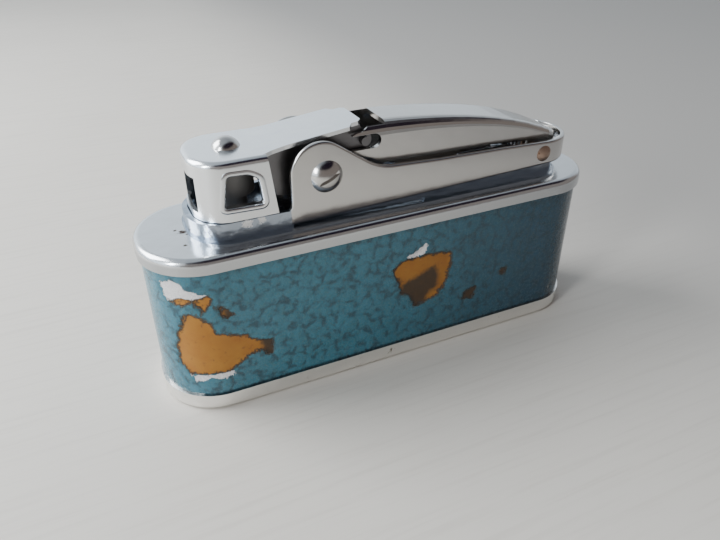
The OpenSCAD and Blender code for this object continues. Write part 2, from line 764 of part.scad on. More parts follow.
fuel_tank();
enamel_sleeve();
deck_cap();
base_cap();
plinth();
frame();
frame_rivet_1();
frame_rivet_2();
axle_screw();
axle_nut();
axle_spacer();
lever_pin();
wick_tube();
wick();
cotton_packing();
felt_pad();
flint_tube();
filler_bush();
lever_spring();
arm_spring();
flint_spring();
thumb_lever();
windguard();
arm_bracket();
snuffer_cup();
guard_rivet();
drive_pin();
pawl_pin();
pawl_spring();
pawl();
spark_wheel();
ratchet_wheel();
flint();
flint_plunger();
flint_washer();
flint_screw();
filler_washer();
filler_screw();
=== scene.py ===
import json
from math import cos, hypot, pi, radians, sin, tan

import bmesh
import bpy
from mathutils import Matrix, Vector


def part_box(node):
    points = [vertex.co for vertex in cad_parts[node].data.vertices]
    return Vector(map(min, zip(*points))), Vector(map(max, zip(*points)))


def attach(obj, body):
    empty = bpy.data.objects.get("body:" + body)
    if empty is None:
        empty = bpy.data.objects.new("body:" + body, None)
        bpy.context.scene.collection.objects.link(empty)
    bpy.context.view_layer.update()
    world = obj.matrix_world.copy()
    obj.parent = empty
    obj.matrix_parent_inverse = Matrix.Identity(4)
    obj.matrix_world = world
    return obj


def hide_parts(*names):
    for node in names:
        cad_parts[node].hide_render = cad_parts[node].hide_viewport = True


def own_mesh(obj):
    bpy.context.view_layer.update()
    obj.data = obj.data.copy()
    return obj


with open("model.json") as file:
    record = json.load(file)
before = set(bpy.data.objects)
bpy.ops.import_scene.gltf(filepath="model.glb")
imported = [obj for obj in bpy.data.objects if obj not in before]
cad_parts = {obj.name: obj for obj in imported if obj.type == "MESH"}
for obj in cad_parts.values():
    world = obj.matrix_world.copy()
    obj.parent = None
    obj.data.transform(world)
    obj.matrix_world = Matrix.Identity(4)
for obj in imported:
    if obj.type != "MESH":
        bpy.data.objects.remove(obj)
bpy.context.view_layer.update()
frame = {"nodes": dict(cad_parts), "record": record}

# Lengths below are in millimetres until a mesh is written.
MM = 0.001


def span(node):
    """Lowest and highest corner of a CAD node in millimetres."""
    low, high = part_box(node)
    return [v / MM for v in low], [v / MM for v in high]


# ---------------------------------------------------------------- materials


class Graph:
    """A small helper that adds nodes to one material or world and links them."""

    def __init__(self, tree):
        self.tree = tree
        tree.nodes.clear()

    def add(self, kind, settings=None, **sockets):
        node = self.tree.nodes.new(kind)
        for key, value in (settings or {}).items():
            setattr(node, key, value)
        for key, value in sockets.items():
            self.feed(self.socket(node, key), value)
        return node

    def socket(self, node, key):
        if key.startswith("in") and key[2:].isdigit():
            return node.inputs[int(key[2:])]
        return node.inputs[key.replace("_", " ")]

    def feed(self, socket, value):
        if isinstance(value, bpy.types.Node):
            value = value.outputs[0]
        if isinstance(value, bpy.types.NodeSocket):
            self.tree.links.new(value, socket)
        elif socket.type == "RGBA" and len(value) == 3:
            socket.default_value = (*value, 1)
        else:
            socket.default_value = value

    def math(self, operation, a, b=0.0, c=0.0, clamp=False):
        settings = {"operation": operation, "use_clamp": clamp}
        return self.add("ShaderNodeMath", settings, in0=a, in1=b, in2=c)

    def mix(self, factor, a, b, blend="MIX"):
        node = self.add("ShaderNodeMix", {"data_type": "RGBA", "blend_type": blend, "clamp_factor": True})
        self.feed(node.inputs[0], factor)
        self.feed(node.inputs[6], a)
        self.feed(node.inputs[7], b)
        return node.outputs[2]

    def noise(self, coords, scale, detail=4.0, rough=0.55, distort=0.0):
        return self.add(
            "ShaderNodeTexNoise", None,
            Vector=coords, Scale=scale, Detail=detail, Roughness=rough, Distortion=distort,
        ).outputs[0]

    def ramp(self, factor, low, high):
        """0 at low, 1 at high, smooth between."""
        node = self.add("ShaderNodeMapRange", {"interpolation_type": "SMOOTHSTEP"})
        for i, value in enumerate((factor, low, high, 0.0, 1.0)):
            self.feed(node.inputs[i], value)
        return node.outputs[0]

    def attribute(self, name):
        return self.add("ShaderNodeAttribute", {"attribute_name": name}).outputs[2]


def material(name, build):
    """A material from a function that takes a Graph and coordinates in millimetres."""
    mat = bpy.data.materials.new(name)
    mat.use_nodes = True
    g = Graph(mat.node_tree)
    place = g.add("ShaderNodeTexCoord").outputs[3]
    coords = g.add("ShaderNodeVectorMath", {"operation": "SCALE"}, in0=place, Scale=1 / MM).outputs[0]
    shader = build(g, coords)
    g.add("ShaderNodeOutputMaterial", None, Surface=shader)
    return mat


def metal(
    name, base, rough, pits=0.5, stain=0.0, stain_colour=(0.20, 0.10, 0.05), grain=0.0, wave=0.15,
    stains_and_painted_light=(), painted_shade_below=None,
):
    """Plated or bare metal: pits, a soft waviness, smears in the gloss and brown stains.

    Blots (place, radius, colour) are stains on the deck and painted highlights and painted shade on the
    plinth. Below the given height the colour is painted darker, a painted shade.
    """

    def build(g, p):
        cloud = g.noise(p, 0.35, 5.0, 0.6)
        fine = g.noise(p, 9.0, 3.0, 0.6)
        pit = g.ramp(g.noise(p, 5.0, 6.0, 0.7), 0.66, 0.74)
        spots = g.ramp(g.noise(p, 1.1, 8.0, 0.75, 0.4), 0.70 - 0.12 * stain, 0.74 - 0.1 * stain)
        spots = g.math("MULTIPLY", spots, min(1.0, stain * 2.0))
        tint = g.mix(cloud, [c * 0.93 for c in base], [min(1.0, c * 1.05) for c in base])
        tint = g.mix(g.math("MULTIPLY", pit, pits), tint, [c * 0.35 for c in base])
        tint = g.mix(spots, tint, stain_colour)
        if painted_shade_below:
            # painted shade: below the given height the colour is darkened
            level = g.add("ShaderNodeSeparateXYZ", None, Vector=p).outputs[2]
            tint = g.mix(g.ramp(level, painted_shade_below + 0.4, painted_shade_below), tint, [c * 0.76 for c in base])
        # the listed blots: stains on the deck, painted highlights and painted shade on the plinth
        for place, radius, colour in stains_and_painted_light:
            away = g.add("ShaderNodeVectorMath", {"operation": "DISTANCE"}, in0=p, in1=place).outputs[1]
            ragged = g.math("MULTIPLY_ADD", g.noise(p, 2.9, 6.0, 0.8), 3.0 * radius, away)
            blot = g.ramp(ragged, 2.3 * radius, 2.0 * radius)
            tint = g.mix(blot, tint, colour)
            spots = g.math("MAXIMUM", spots, g.math("MULTIPLY", blot, 0.8))
        gloss = g.math("MULTIPLY_ADD", cloud, 0.10, rough - 0.03)
        gloss = g.math("MULTIPLY_ADD", fine, 0.05, gloss)
        gloss = g.math("MAXIMUM", gloss, g.math("MULTIPLY", spots, 0.6))
        height = g.math("MULTIPLY", g.noise(p, 0.55, 2.0, 0.4), wave)
        height = g.math("SUBTRACT", height, g.math("MULTIPLY", pit, 0.02 * pits))
        if grain:
            lines = g.add("ShaderNodeVectorMath", {"operation": "MULTIPLY"}, in0=p, in1=(0.6, 0.6, 14.0))
            height = g.math("MULTIPLY_ADD", g.noise(lines, 1.0, 3.0), grain, height)
        bump = g.add("ShaderNodeBump", None, Strength=0.6, Distance=0.3 * MM, Height=height)
        return g.add(
            "ShaderNodeBsdfPrincipled", None,
            Base_Color=tint, Metallic=1.0, Roughness=gloss, Normal=bump,
        )

    return material(name, build)


def cloth(name, light, dark, scale, fuzz):
    """Fibres: matt, soft and uneven."""

    def build(g, p):
        tone = g.noise(p, scale, 6.0, 0.7)
        strand = g.noise(p, scale * 4.0, 3.0, 0.6)
        tint = g.mix(g.math("MULTIPLY", tone, strand), dark, light)
        bump = g.add("ShaderNodeBump", None, Strength=0.8, Distance=fuzz * MM, Height=strand)
        return g.add(
            "ShaderNodeBsdfPrincipled", None,
            Base_Color=tint, Roughness=0.92, Normal=bump, Sheen_Weight=0.3,
        )

    return material(name, build)


def build_enamel(g, p):
    """Hammered enamel over nickel over brass. The mesh carries the distance to each chip's edge."""
    ragged = g.math("MULTIPLY_ADD", g.noise(p, 1.3, 5.0, 0.65), 1.5, -0.75)
    nibble = g.math("MULTIPLY_ADD", g.noise(p, 5.0, 3.0, 0.6), 0.6, -0.30)
    bare_edge = g.math("ADD", g.attribute("bare"), g.math("ADD", ragged, nibble))
    plate_edge = g.math("ADD", g.attribute("plating"), g.math("ADD", ragged, nibble))
    stain_edge = g.math("ADD", g.attribute("stain"), ragged)
    bare = g.ramp(bare_edge, 0.06, -0.06)
    plating = g.math("MULTIPLY", g.ramp(plate_edge, 0.05, -0.05), g.math("SUBTRACT", 1.0, bare))
    rim = g.math("MULTIPLY", g.ramp(bare_edge, -0.36, -0.08), bare)
    halo = g.math("MULTIPLY", g.ramp(bare_edge, 0.35, 0.0), g.math("SUBTRACT", 1.0, bare))

    shift = g.add("ShaderNodeTexNoise", None, Vector=p, Scale=0.9, Detail=3.0).outputs[1]
    moved = g.add("ShaderNodeVectorMath", {"operation": "MULTIPLY_ADD"}, in0=shift, in1=(1.1,) * 3, in2=p)
    cells = g.add(
        "ShaderNodeTexVoronoi", {"feature": "DISTANCE_TO_EDGE"}, Vector=moved, Scale=0.62, Randomness=1.0,
    ).outputs[0]
    vein = g.ramp(cells, 0.24, 0.02)
    dome = g.ramp(cells, 0.0, 0.5)
    cloud = g.noise(p, 0.45, 4.0, 0.6)
    mottle = g.noise(p, 2.2, 4.0, 0.65)
    place = g.add("ShaderNodeSeparateXYZ", None, Vector=p)
    # painted shade: the paint, its green patches and the bare brass are painted darker towards the lever's
    # end (+x)
    painted_shade_along_x = g.ramp(place, -14.0, 29.0)
    light_paint = g.mix(painted_shade_along_x, (0.042, 0.190, 0.268), (0.007, 0.047, 0.088))
    dark_paint = g.mix(painted_shade_along_x, (0.024, 0.128, 0.172), (0.005, 0.032, 0.056))
    paint = g.mix(cloud, dark_paint, light_paint)
    green = g.mix(painted_shade_along_x, (0.030, 0.110, 0.110), (0.009, 0.048, 0.060))
    paint = g.mix(g.math("MULTIPLY", g.ramp(mottle, 0.45, 0.75), 0.6), paint, green)
    broken = g.math("MULTIPLY", vein, g.ramp(g.noise(p, 0.8, 3.0, 0.6), 0.40, 0.62))
    paint = g.mix(g.math("MULTIPLY", broken, 0.72), paint, (0.006, 0.030, 0.045))
    paint = g.mix(g.math("MULTIPLY", halo, 0.85), paint, (0.016, 0.022, 0.014))
    # painted shade: the paint is darkened in the crease above the base band
    seam_painted_shade = g.ramp(g.math("MULTIPLY_ADD", mottle, 0.5, place.outputs[2]), 2.85, 2.45)
    paint = g.mix(g.math("MULTIPLY", seam_painted_shade, 0.85), paint, (0.006, 0.012, 0.018))

    rust = g.noise(p, 1.3, 6.0, 0.7)
    brass = g.mix(g.noise(p, 0.5, 3.0), (0.44, 0.205, 0.020), (0.32, 0.100, 0.006))
    brass = g.mix(g.math("MULTIPLY", painted_shade_along_x, 0.75), brass, (0.16, 0.055, 0.006))
    brass = g.mix(g.ramp(rust, 0.56, 0.72), brass, (0.20, 0.08, 0.015))
    speck = g.ramp(g.noise(p, 1.9, 4.0, 0.7), 0.68, 0.73)
    brass = g.mix(g.math("MULTIPLY", speck, 0.8), brass, (0.05, 0.022, 0.008))
    # real stains darken the bare brass inside the stain outlines
    stain_and_painted_shade = g.math("MULTIPLY", g.ramp(stain_edge, 0.55, -0.45), bare)
    brass = g.mix(stain_and_painted_shade, brass, g.mix(rust, (0.030, 0.021, 0.010), (0.075, 0.034, 0.010)))
    brass = g.mix(g.math("MULTIPLY", rim, 0.95), brass, (0.022, 0.013, 0.008))
    silver = g.mix(g.noise(p, 2.5, 4.0), (0.62, 0.60, 0.62), (0.85, 0.84, 0.84))

    tint = g.mix(plating, g.mix(bare, paint, brass), silver)
    gloss = g.math("MULTIPLY_ADD", mottle, 0.10, 0.22)
    gloss = g.math("MULTIPLY_ADD", bare, 0.20, gloss)
    height = g.math("MULTIPLY", dome, 0.35)
    height = g.math("MULTIPLY_ADD", g.noise(p, 3.2, 2.0), 0.15, height)
    chip = g.math("MAXIMUM", bare, plating)
    height = g.math("MULTIPLY", height, g.math("SUBTRACT", 1.0, chip))
    height = g.math("SUBTRACT", height, g.math("MULTIPLY", chip, 0.9))
    bump = g.add("ShaderNodeBump", None, Strength=0.7, Distance=0.12 * MM, Height=height)
    return g.add(
        "ShaderNodeBsdfPrincipled", None,
        Base_Color=tint, Roughness=gloss, Normal=bump, Metallic=g.math("MULTIPLY", chip, 0.2),
        Coat_Weight=0.15, Coat_Roughness=0.12,
    )


def build_flint(g, p):
    tone = g.noise(p, 3.0, 6.0, 0.7)
    tint = g.mix(tone, (0.05, 0.05, 0.055), (0.16, 0.15, 0.15))
    bump = g.add("ShaderNodeBump", None, Strength=0.7, Distance=0.1 * MM, Height=tone)
    return g.add(
        "ShaderNodeBsdfPrincipled", None, Base_Color=tint, Metallic=0.4, Roughness=0.65, Normal=bump,
    )


def build_washer(g, p):
    tone = g.noise(p, 2.0, 5.0, 0.7)
    tint = g.mix(tone, (0.16, 0.05, 0.03), (0.32, 0.12, 0.06))
    bump = g.add("ShaderNodeBump", None, Strength=0.5, Distance=0.1 * MM, Height=g.noise(p, 8.0))
    return g.add("ShaderNodeBsdfPrincipled", None, Base_Color=tint, Roughness=0.75, Normal=bump)


MATS = {
    "chrome": metal("chrome", (0.57, 0.555, 0.54), 0.15, pits=0.35, stain=0.1),
    "guard_chrome": metal("guard_chrome", (0.80, 0.82, 0.84), 0.16, pits=0.5, stain=0.15),
    "base_chrome": metal(
        "base_chrome", (0.86, 0.85, 0.82), 0.15,
        pits=0.8, stain=0.7, stain_colour=(0.30, 0.27, 0.22), wave=0.9,
    ),
    # painted shade: a dark copy of the metal for the arm bracket and the drive pin, standing for the shadow
    # under the arm strip
    "bracket": metal("bracket", (0.17, 0.165, 0.17), 0.28, pits=0.5, stain=0.3),
    "soot": metal("soot", (0.22, 0.215, 0.21), 0.55, pits=0.8, stain=0.6),
    # painted shade: the lower part of the deck's rim is painted darker; its blots are real stains
    "deck_chrome": metal(
        "deck_chrome", (0.64, 0.655, 0.67), 0.15,
        pits=0.5, stain=0.4, stain_colour=(0.10, 0.06, 0.03), painted_shade_below=20.1,
        stains_and_painted_light=[
            ((-24.6, -0.4, 21.0), 0.62, (0.05, 0.03, 0.02)),
            ((-24.0, -1.1, 21.0), 0.42, (0.06, 0.04, 0.03)),
            ((-25.3, 0.3, 21.0), 0.32, (0.07, 0.05, 0.03)),
            ((-24.9, -3.6, 21.0), 0.30, (0.07, 0.05, 0.03)),
            ((27.0, 2.5, 21.0), 0.4, (0.15, 0.09, 0.05)),
        ],
    ),
    "plinth_chrome": metal(
        "plinth_chrome", (0.38, 0.43, 0.50), 0.20,
        pits=0.7, stain=0.3, stain_colour=(0.12, 0.09, 0.06), wave=0.9,
        stains_and_painted_light=[
            # painted highlights: two white blots on the front of the nose; painted shade: two dark blots on
            # the plinth under the windguard
            ((-18.2, -4.9, 22.9), 0.8, (0.95, 0.95, 0.95)), ((-16.6, -4.9, 23.0), 0.6, (0.90, 0.90, 0.90)),
            ((-17.5, 0.0, 22.3), 3.4, (0.03, 0.028, 0.03)), ((-12.5, 0.0, 22.0), 3.4, (0.03, 0.028, 0.03)),
        ],
    ),
    "enamel": material("enamel", build_enamel),
    "brass": metal("brass", (0.60, 0.40, 0.14), 0.35, pits=0.4, stain=0.4, stain_colour=(0.12, 0.07, 0.03)),
    "steel": metal("steel", (0.30, 0.30, 0.31), 0.38, pits=0.5, stain=0.3, grain=0.1),
    "pin_steel": metal("pin_steel", (0.38, 0.27, 0.21), 0.40, pits=0.8, stain=0.9),
    "hard_steel": metal("hard_steel", (0.22, 0.22, 0.24), 0.42, pits=0.6, stain=0.2),
    "spring_steel": metal("spring_steel", (0.30, 0.30, 0.33), 0.33, pits=0.3, stain=0.3),
    "flint": material("flint", build_flint),
    "wick": cloth("wick", (0.72, 0.66, 0.52), (0.25, 0.20, 0.14), 3.0, 0.25),
    "cotton": cloth("cotton", (0.90, 0.89, 0.86), (0.62, 0.60, 0.56), 1.2, 0.6),
    "felt": cloth("felt", (0.52, 0.44, 0.34), (0.28, 0.22, 0.16), 2.0, 0.3),
    "washer": material("washer", build_washer),
}

# ---------------------------------------------------------------- CAD nodes that stay

BEVELS = {
    "frame": 0.27, "plinth": 0.2, "windguard": 0.18, "arm_bracket": 0.1, "axle_nut": 0.15,
    "thumb_lever": 0.12, "base_cap": 0.2,
}
LOOKS = {
    "windguard": "guard_chrome", "base_cap": "base_chrome",
    "deck_cap": "deck_chrome", "plinth": "plinth_chrome", "arm_bracket": "bracket",
    "drive_pin": "bracket", "snuffer_cup": "soot", "wick_tube": "soot",
}
slot_of = {s["node"]: s["material_slot"] for s in frame["record"]["subparts"]}


def finish_node(name):
    """A kept CAD node gets its material, soft edges and smooth shading."""
    obj = frame["nodes"][name]
    slot = slot_of[name]
    mat = MATS[LOOKS.get(name, slot)]
    obj.data.materials.clear()
    obj.data.materials.append(mat)
    obj.data.polygons.foreach_set("use_smooth", [True] * len(obj.data.polygons))
    obj.data.set_sharp_from_angle(angle=radians(32))
    if name in BEVELS:
        flat = obj.modifiers.new("flat", "DECIMATE")
        flat.decimate_type = "DISSOLVE"
        flat.angle_limit = radians(0.6)
        bevel = obj.modifiers.new("bevel", "BEVEL")
        bevel.width = BEVELS[name] * MM
        bevel.segments = 3
        bevel.limit_method = "ANGLE"
        bevel.angle_limit = radians(32)
        bevel.use_clamp_overlap = name not in ("windguard", "base_cap")
        bevel.harden_normals = True


for node_name in frame["nodes"]:
    finish_node(node_name)

# ---------------------------------------------------------------- enamelled side


def outline(half_x, half_y, r, step):
    """Points (s, x, y) round a rounded rectangle; s is the length from the front's middle."""
    points = []
    flat_x, flat_y = half_x - r, half_y - r
    quarter = pi / 2 * r

    def straight(s0, x0, y0, dx, dy, length):
        n = max(1, round(length / step))
        for i in range(n):
            t = length * i / n
            points.append((s0 + t, x0 + dx * t, y0 + dy * t))

    def corner(s0, cx, cy, a0):
        n = max(6, round(quarter / step))
        for i in range(n):
            a = a0 + pi / 2 * i / n
            points.append((s0 + quarter * i / n, cx + r * cos(a), cy + r * sin(a)))

    s = 0.0
    straight(s, 0, -half_y, 1, 0, flat_x)
    s += flat_x
    corner(s, flat_x, -flat_y, -pi / 2)
    s += quarter
    straight(s, half_x, -flat_y, 0, 1, 2 * flat_y)
    s += 2 * flat_y
    corner(s, flat_x, flat_y, 0)
    s += quarter
    straight(s, flat_x, half_y, -1, 0, 2 * flat_x)
    s += 2 * flat_x
    corner(s, -flat_x, flat_y, pi / 2)
    s += quarter
    straight(s, -half_x, flat_y, 0, -1, 2 * flat_y)
    s += 2 * flat_y
    corner(s, -flat_x, -flat_y, pi)
    s += quarter
    straight(s, -flat_x, -half_y, 1, 0, flat_x)
    total = s + flat_x
    return [(q if q < total / 2 else q - total, x, y) for q, x, y in points]


def shape_distance(points, s, z):
    """Signed distance from (s, z) to a closed shape: negative inside."""
    best = 1e9
    inside = False
    j = len(points) - 1
    for i, (x1, y1) in enumerate(points):
        x0, y0 = points[j]
        dx, dy = x1 - x0, y1 - y0
        t = max(0.0, min(1.0, ((s - x0) * dx + (z - y0) * dy) / (dx * dx + dy * dy)))
        best = min(best, hypot(s - x0 - dx * t, z - y0 - dy * t))
        if (y1 > z) != (y0 > z) and s < (x0 - x1) * (z - y1) / (y0 - y1) + x1:
            inside = not inside
        j = i
    return -best if inside else best


# Where the enamel has chipped: outlines on the unrolled side, (along, up)
BARE = [
    [(-28.7, 15.7), (-27.2, 16.0), (-25.8, 15.9), (-24.0, 16.3), (-23.6, 15.8), (-24.2, 14.7),
     (-24.9, 14.2), (-25.6, 15.4), (-27.7, 15.0)],
    [(-23.6, 14.8), (-22.5, 14.7), (-21.5, 13.2), (-22.7, 13.1)],
    [(-27.0, 13.8), (-26.2, 14.0), (-24.3, 12.8), (-23.5, 11.0), (-20.2, 9.8), (-19.1, 8.8),
     (-17.2, 8.3), (-17.2, 6.5), (-17.8, 6.2), (-18.5, 7.1), (-19.5, 7.2), (-21.2, 6.2), (-22.5, 5.4),
     (-27.1, 5.3), (-28.7, 6.9), (-28.6, 8.8), (-28.1, 11.3)],
    [(-1.4, 13.4), (-0.2, 14.5), (4.0, 14.6), (7.0, 14.3), (7.1, 13.0), (6.7, 9.8), (5.0, 7.9),
     (1.8, 7.3), (1.5, 8.8), (-0.2, 10.0), (-0.3, 11.4)],
    [(15.1, 9.5), (16.2, 9.5), (16.1, 8.6), (15.2, 8.7)],
    [(9.2, 6.2), (9.8, 7.5), (11.3, 7.8), (11.2, 6.1)],
]
PLATING = [
    [(-29.6, 17.8), (-28.0, 18.3), (-27.2, 18.1), (-26.4, 17.2), (-24.1, 16.4), (-25.8, 15.6),
     (-28.7, 15.6), (-29.2, 16.6)],
    [(-27.3, 5.3), (-22.3, 5.3), (-22.1, 4.6), (-25.3, 4.7), (-26.3, 4.3), (-26.9, 4.4)],
    [(0.7, 15.0), (2.1, 15.6), (3.2, 16.2), (3.4, 15.5), (2.1, 14.6)],
    [(24.4, 3.9), (25.3, 4.1), (25.2, 3.7)],
]
STAIN = [
    [(0.5, 11.2), (2.1, 11.7), (3.8, 12.4), (4.9, 12.5), (5.5, 11.1), (5.3, 9.7), (4.0, 8.6), (3.1, 7.2),
     (1.8, 7.0), (-0.4, 10.0)],
    [(-23.0, 14.9), (-22.5, 14.8), (-21.4, 13.1), (-22.2, 13.0)],
    [(-18.6, 9.0), (-16.8, 8.8), (-16.8, 6.0), (-18.4, 6.2)],
    [(14.6, 9.9), (16.6, 9.9), (16.5, 8.2), (14.7, 8.3)],
    [(8.7, 5.7), (9.3, 8.0), (11.8, 8.2), (11.7, 5.6)],
]
FAR = 3.0


def nearest(shapes, s, z):
    return min([FAR] + [shape_distance(shape, s, z) for shape in shapes])


def new_object(name, bm, mat, body, replaced=(), sharp=32):
    """Writes a mesh made in millimetres as a smooth-shaded piece on a body."""
    bm.normal_update()
    mesh = bpy.data.meshes.new(name)
    bmesh.ops.scale(bm, vec=(MM, MM, MM), verts=bm.verts)
    bm.to_mesh(mesh)
    bm.free()
    obj = bpy.data.objects.new(name, mesh)
    bpy.context.scene.collection.objects.link(obj)
    mesh.materials.append(MATS[mat])
    mesh.polygons.foreach_set("use_smooth", [True] * len(mesh.polygons))
    mesh.set_sharp_from_angle(angle=radians(sharp))
    if replaced:
        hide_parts(*replaced)
    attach(obj, body)
    return obj


def make_sleeve():
    low, high = span("enamel_sleeve")
    half_x, half_y = high[0], high[1]
    corner_r = 6.75
    wall = 0.35
    step = 0.35
    chip_depth = 0.12
    ring = outline(half_x, half_y, corner_r, step)
    rows = 49
    bm = bmesh.new()
    layers = {key: bm.verts.layers.float.new(key) for key in ("bare", "plating", "stain")}
    grid = []
    for k in range(rows + 1):
        z = low[2] + (high[2] - low[2]) * k / rows
        row = []
        for s, x, y in ring:
            vert = bm.verts.new((x, y, z))
            for key, shapes in (("bare", BARE), ("plating", PLATING), ("stain", STAIN)):
                near = abs(s) < 32 and y < 2
                vert[layers[key]] = nearest(shapes, s, z) if near else FAR
            row.append(vert)
        grid.append(row)
    n = len(ring)
    for k in range(rows):
        for i in range(n):
            j = (i + 1) % n
            bm.faces.new((grid[k][i], grid[k][j], grid[k + 1][j], grid[k + 1][i]))
    # thickness: an inner skin and two rims
    inner = [(x * (half_x - wall) / half_x, y * (half_y - wall) / half_y) for s, x, y in ring]
    skin = [[bm.verts.new((x, y, z)) for x, y in inner] for z in (low[2], high[2])]
    for vert in (*skin[0], *skin[1]):
        for key in layers:
            vert[layers[key]] = FAR
    for i in range(n):
        j = (i + 1) % n
        bm.faces.new((skin[0][j], skin[0][i], skin[1][i], skin[1][j]))
        bm.faces.new((grid[0][j], grid[0][i], skin[0][i], skin[0][j]))
        bm.faces.new((grid[rows][i], grid[rows][j], skin[1][j], skin[1][i]))
    # the enamel is thinner where it has chipped
    bm.normal_update()
    for row in grid[1:-1]:
        for vert in row:
            depth = min(vert[layers["bare"]], vert[layers["plating"]])
            t = max(0.0, min(1.0, (0.2 - depth) / 0.5))
            vert.co -= vert.normal * chip_depth * t * t * (3 - 2 * t)
    return new_object("enamel_skin", bm, "enamel", "case", ["enamel_sleeve"], sharp=60)


make_sleeve()

# ---------------------------------------------------------------- pressed sheet pieces


def offset_outline(points, inset):
    """A closed anticlockwise outline moved inwards."""
    moved = []
    n = len(points)
    for i, (x, z) in enumerate(points):
        x0, z0 = points[i - 1]
        x1, z1 = points[(i + 1) % n]
        a = Vector((x - x0, z - z0)).normalized()
        b = Vector((x1 - x, z1 - z)).normalized()
        turn = Vector((-a.y - b.y, a.x + b.x))
        turn /= max(0.5, (1 + a.dot(b)))
        moved.append((x + turn.x * inset, z + turn.y * inset))
    return moved


def arc_points(cx, cz, r, start, end, steps):
    angles = [radians(start + (end - start) * i / steps) for i in range(steps + 1)]
    return [(cx + r * cos(a), cz + r * sin(a)) for a in angles]


def spaced(points, step):
    """The same outline with no side longer than the step."""
    out = []
    for i, (x, z) in enumerate(points):
        x1, z1 = points[(i + 1) % len(points)]
        n = max(1, round(hypot(x1 - x, z1 - z) / step))
        out += [(x + (x1 - x) * k / n, z + (z1 - z) * k / n) for k in range(n)]
    return out


def sheet(bm, points, thick, edge):
    """A flat sheet with rounded rims: x along, y into the thickness, z up."""
    rings = []
    for k in range(7):
        a = pi / 2 * k / 6
        rings.append((edge * (1 - sin(a)), edge * (1 - cos(a))))
    back = 0.4 * edge
    rings += [(0, thick - back), (0.3 * back, thick - 0.3 * back), (back, thick)]
    loops = []
    for inset, depth in rings:
        ring = offset_outline(points, inset)
        loops.append([bm.verts.new((x, depth, z)) for x, z in ring])
    n = len(points)
    for low, high in zip(loops, loops[1:]):
        for i in range(n):
            j = (i + 1) % n
            bm.faces.new((low[i], high[i], high[j], low[j]))
    bm.faces.new(loops[0])
    bm.faces.new(list(reversed(loops[-1])))


def make_frame():
    """The frame is one strip of sheet bent round a half circle at the rear."""
    low, high = span("frame")
    sheet_t, rolled = 0.6, 0.3
    shoulder_r, tilt = 3.6, 34.5
    toe = 0.35
    half = high[1]
    bend_x = high[0] - half
    turn = pi * half
    total = 2 * bend_x + turn
    left = low[0]
    cx, cz = left + shoulder_r, high[2] - shoulder_r
    near = [(bend_x, 22.5), (bend_x, 25.6), (15, 25.9), (6, 26.1)]
    near += list(reversed(arc_points(0.1, 32.9, 6.5, 270 - tilt, 267, 8)))
    near += arc_points(cx, cz, shoulder_r, 90 - tilt, 180, 24)
    near += [(left, 24.3), (left - 0.08, 23.6), (left - toe, 23.2), (left - toe, low[2])]
    far = [(total - x, z) for x, z in near[2:]]
    # near side from the rail to the lower edge, then the mirrored far side
    loop = near[2:] + [near[0]] + [(total - near[0][0], near[0][1])] + list(reversed(far))
    loop += [(total - near[1][0], near[1][1]), near[1]]
    loop = spaced(loop, 0.5)
    bm = bmesh.new()
    sheet(bm, loop, sheet_t, rolled)
    cuts = 20
    for k in range(cuts + 1):
        place = (bend_x + turn * k / cuts, 0, 0)
        geometry = bm.verts[:] + bm.edges[:] + bm.faces[:]
        bmesh.ops.bisect_plane(bm, geom=geometry, plane_co=place, plane_no=(1, 0, 0), dist=0.0001)
    for vert in bm.verts:
        s, w, z = vert.co
        if s <= bend_x:
            vert.co = (s, -half + w, z)
        elif s >= bend_x + turn:
            vert.co = (total - s, half - w, z)
        else:
            a = (s - bend_x) / half
            vert.co = (bend_x + (half - w) * sin(a), -(half - w) * cos(a), z)
    # floor that the two rivets hold down
    floor_x, floor_z = 11.95, 22.55
    floor_size = (14.9, 2 * half - 1.0, 0.5)
    bar = bmesh.ops.create_cube(bm, size=1.0)["verts"]
    for vert in bar:
        x, y, z = (c * size for c, size in zip(vert.co, floor_size))
        vert.co = (floor_x + x, y, floor_z + z)
    edges = [e for e in bm.edges if e.verts[0] in bar and e.verts[1] in bar]
    bmesh.ops.bevel(bm, geom=edges, offset=0.12, segments=2, affect="EDGES")
    bmesh.ops.recalc_face_normals(bm, faces=bm.faces[:])
    return new_object("frame_sheet", bm, "chrome", "case", ["frame"], sharp=40)


make_frame()


def make_window_lips():
    """Turned lips round the two side windows of the windguard."""
    high = span("windguard")[1]
    window = [(-20.5, 24.9), (-16.0, 24.75), (-16.35, 27.8), (-17.5, 28.5), (-19.9, 28.6)]
    window = [Vector(q) for q in window]
    corner_cut = 0.45
    rounded = []
    for i, corner in enumerate(window):
        before, after = window[i - 1], window[(i + 1) % len(window)]
        a = corner + (before - corner).normalized() * corner_cut
        b = corner + (after - corner).normalized() * corner_cut
        rounded += [tuple(a.lerp(corner, t).lerp(corner.lerp(b, t), t)) for t in (0, 0.25, 0.5, 0.75, 1)]
    # (inset, lift) round the section of a lip
    profile = [
        (-0.55, 0.0), (-0.45, 0.07), (-0.25, 0.13), (-0.05, 0.08),
        (0.08, -0.1), (0.1, -0.75), (-0.05, -0.75),
    ]
    bm = bmesh.new()
    for side in (-1, 1):
        loops = []
        for inset, lift in profile:
            ring = offset_outline(rounded, inset)
            loops.append([bm.verts.new((x, side * (high[1] + lift), z)) for x, z in ring])
        n = len(rounded)
        for a, b in zip(loops, loops[1:] + loops[:1]):
            for i in range(n):
                j = (i + 1) % n
                bm.faces.new((a[i], a[j], b[j], b[i]))
    bmesh.ops.recalc_face_normals(bm, faces=bm.faces[:])
    return new_object("window_lips", bm, "guard_chrome", "arm", sharp=50)


make_window_lips()

# ---------------------------------------------------------------- springs


def curved(points, rounds=3):
    """The same path with its corners rounded and its ends kept."""
    points = [Vector(p) for p in points]
    for _ in range(rounds):
        cut = [points[0]]
        for a, b in zip(points, points[1:]):
            cut += [a.lerp(b, 0.25), a.lerp(b, 0.75)]
        points = cut + [points[-1]]
    return points


